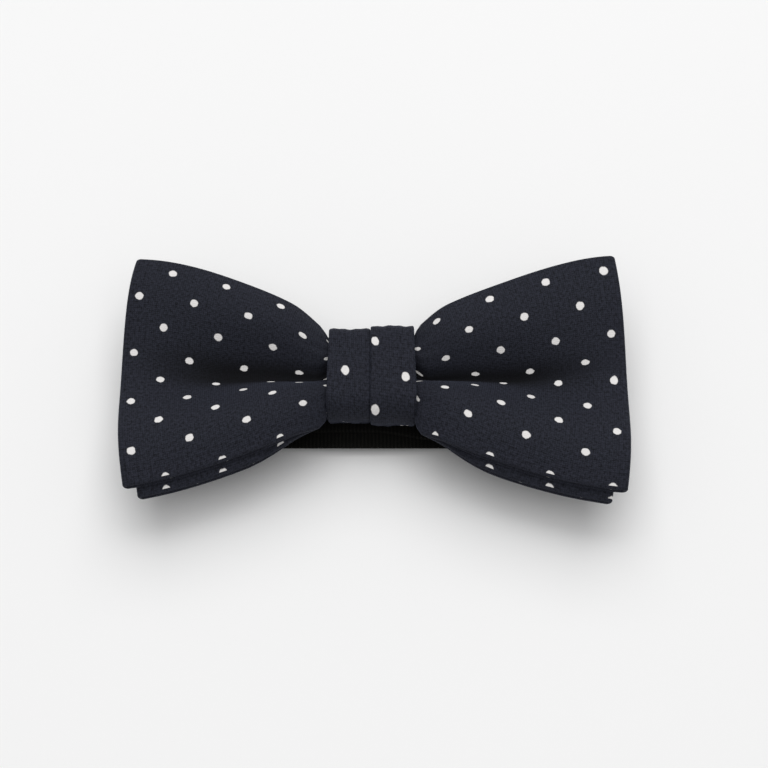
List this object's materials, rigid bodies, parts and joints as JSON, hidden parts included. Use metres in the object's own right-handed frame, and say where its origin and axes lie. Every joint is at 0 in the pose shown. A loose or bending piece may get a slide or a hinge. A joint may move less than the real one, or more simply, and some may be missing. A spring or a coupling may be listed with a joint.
{
  "type": "ready-tied bow tie",
  "caption": "Ready-tied bow tie: two looped fabric bows gathered under a knot band, on a flat-folded adjustable neck strap with a hook.",
  "frame": {"origin": "under the middle of the tie, on the surface that it lies on", "axes": "+X along the wings, +Y up as the tie is worn, +Z out of the front of the knot"},
  "size_m": [0.12, 0.062, 0.0223],
  "materials": {
    "dotted_cotton": "fine woven navy cotton with small off-white printed dots, matt",
    "canvas_interlining": "stiff woven interlining, natural",
    "navy_thread": "twisted polyester sewing thread",
    "ribbed_webbing": "black cross-ribbed webbing, matt",
    "black_thread": "twisted polyester sewing thread",
    "black_enamel": "stamped steel, black enamelled, satin"
  },
  "bodies": {
    "strap": {"neck_strap": "ribbed_webbing", "hook_end_bar_tack": "black_thread", "tail_end_bar_tack": "black_thread"},
    "bow": {"front_bow_shell": "dotted_cotton", "front_bow_interlining": "canvas_interlining", "front_bow_seam_thread": "navy_thread", "back_bow_shell": "dotted_cotton", "back_bow_interlining": "canvas_interlining", "back_bow_seam_thread": "navy_thread", "waist_gathering_thread": "navy_thread", "knot_interlining": "canvas_interlining", "knot_band": "dotted_cotton", "knot_closing_thread": "navy_thread"},
    "adjuster": {"strap_adjuster": "black_enamel"},
    "hook": {"strap_hook": "black_enamel"}
  },
  "joints": [
    {"name": "bow_slide", "type": "slide", "parent": "strap", "child": "bow", "axis": [1, 0, 0], "range_m": [-0.005, 0.005]},
    {"name": "adjuster_slide", "type": "slide", "parent": "strap", "child": "adjuster", "axis": [1, 0, 0], "range_m": [-0.006, 0.013]},
    {"name": "hook_swing", "type": "hinge", "parent": "strap", "child": "hook", "pos_m": [-0.046, -0.0015, 0.00155], "axis": [0, 1, 0], "range_deg": [-90, 0]}
  ]
}
